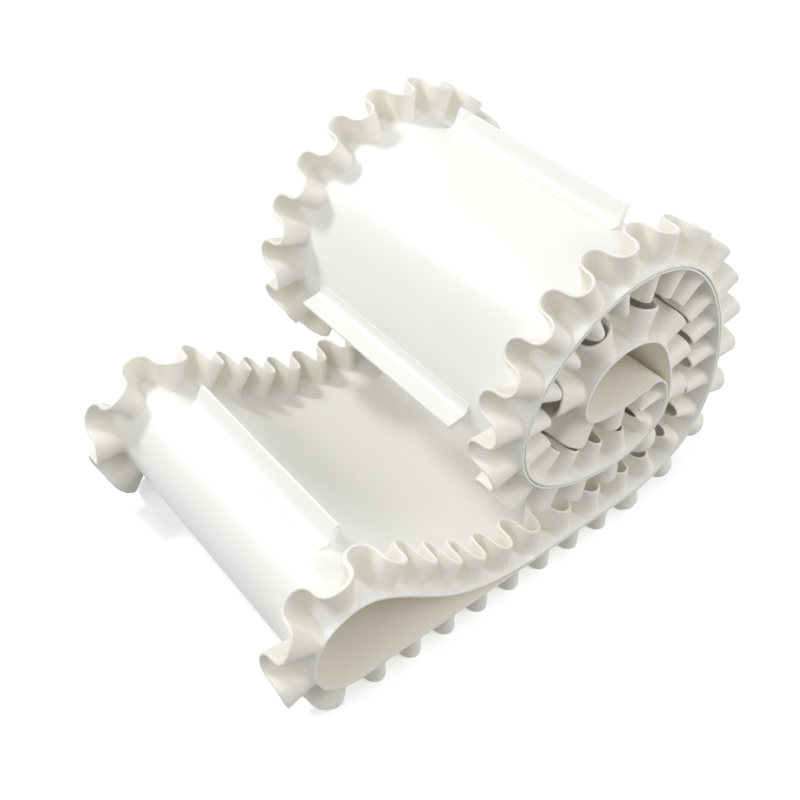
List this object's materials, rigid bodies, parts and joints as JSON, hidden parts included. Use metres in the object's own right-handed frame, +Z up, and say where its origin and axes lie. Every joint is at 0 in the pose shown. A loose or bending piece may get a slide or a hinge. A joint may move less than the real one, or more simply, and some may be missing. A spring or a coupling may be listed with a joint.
{
  "type": "sidewall conveyor belt",
  "caption": "Endless white PVC conveyor belt with corrugated sidewalls and cross cleats, rolled up from one end; the open front loop lifts and the roll tips open.",
  "frame": {"origin": "centre of the box's bottom, on the plane that the sidewall edges rest on", "axes": "+X from the open front loop towards the roll, +Y across the belt along the roll's axis, +Z up"},
  "size_m": [0.7599, 0.5, 0.4899],
  "materials": {
    "cover_pvc": "satin",
    "sidewall_pvc": "satin",
    "cleat_pvc": "satin",
    "ply_fabric": "matte"
  },
  "bodies": {
    "floor_run": {"carrying_cover_floor_lower": "cover_pvc", "carrying_cover_floor_upper": "cover_pvc", "cleat_floor_lower": "cleat_pvc", "cleat_floor_upper": "cleat_pvc", "far_sidewall_floor_lower": "sidewall_pvc", "far_sidewall_floor_upper": "sidewall_pvc", "far_sidewall_front_flex_lower": "sidewall_pvc", "far_sidewall_front_flex_upper": "sidewall_pvc", "far_sidewall_roll_flex_lower": "sidewall_pvc", "far_sidewall_roll_flex_upper": "sidewall_pvc", "flex_panel_front_lower": "cover_pvc", "flex_panel_front_upper": "cover_pvc", "flex_panel_roll_lower": "cover_pvc", "flex_panel_roll_upper": "cover_pvc", "near_sidewall_floor_lower": "sidewall_pvc", "near_sidewall_floor_upper": "sidewall_pvc", "near_sidewall_front_flex_lower": "sidewall_pvc", "near_sidewall_front_flex_upper": "sidewall_pvc", "near_sidewall_roll_flex_lower": "sidewall_pvc", "near_sidewall_roll_flex_upper": "sidewall_pvc", "running_ply_floor_lower": "ply_fabric", "running_ply_floor_upper": "ply_fabric"},
    "front_loop": {"carrying_cover_front_loop": "cover_pvc", "cleat_front_bottom": "cleat_pvc", "cleat_front_top": "cleat_pvc", "far_sidewall_front_bottom": "sidewall_pvc", "far_sidewall_front_top": "sidewall_pvc", "near_sidewall_front_bottom": "sidewall_pvc", "near_sidewall_front_top": "sidewall_pvc", "running_ply_front_loop": "ply_fabric"},
    "roll": {"carrying_cover_roll_core": "cover_pvc", "carrying_cover_roll_inner": "cover_pvc", "carrying_cover_roll_outer": "cover_pvc", "cleat_core_bottom": "cleat_pvc", "cleat_core_left": "cleat_pvc", "cleat_core_right": "cleat_pvc", "cleat_inner_left": "cleat_pvc", "cleat_inner_right": "cleat_pvc", "cleat_inner_top": "cleat_pvc", "cleat_roll_left": "cleat_pvc", "cleat_roll_right": "cleat_pvc", "cleat_roll_top": "cleat_pvc", "far_sidewall_core_left": "sidewall_pvc", "far_sidewall_core_right": "sidewall_pvc", "far_sidewall_inner_left": "sidewall_pvc", "far_sidewall_inner_right": "sidewall_pvc", "far_sidewall_roll_left": "sidewall_pvc", "far_sidewall_roll_right": "sidewall_pvc", "near_sidewall_core_left": "sidewall_pvc", "near_sidewall_core_right": "sidewall_pvc", "near_sidewall_inner_left": "sidewall_pvc", "near_sidewall_inner_right": "sidewall_pvc", "near_sidewall_roll_left": "sidewall_pvc", "near_sidewall_roll_right": "sidewall_pvc", "running_ply_roll_core": "ply_fabric", "running_ply_roll_inner": "ply_fabric", "running_ply_roll_outer": "ply_fabric"}
  },
  "joints": [
    {"name": "front_lift", "type": "hinge", "parent": "floor_run", "child": "front_loop", "pos_m": [-0.04, 0, 0.047], "axis": [0, 1, 0], "range_deg": [0, 25], "deforming": ["far_sidewall_front_flex_lower", "far_sidewall_front_flex_upper", "flex_panel_front_lower", "flex_panel_front_upper", "near_sidewall_front_flex_lower", "near_sidewall_front_flex_upper"]},
    {"name": "roll_tip", "type": "hinge", "parent": "floor_run", "child": "roll", "pos_m": [0.215, 0, 0.048], "axis": [0, 1, 0], "range_deg": [0, 20], "deforming": ["far_sidewall_roll_flex_lower", "far_sidewall_roll_flex_upper", "flex_panel_roll_lower", "flex_panel_roll_upper", "near_sidewall_roll_flex_lower", "near_sidewall_roll_flex_upper"]}
  ]
}
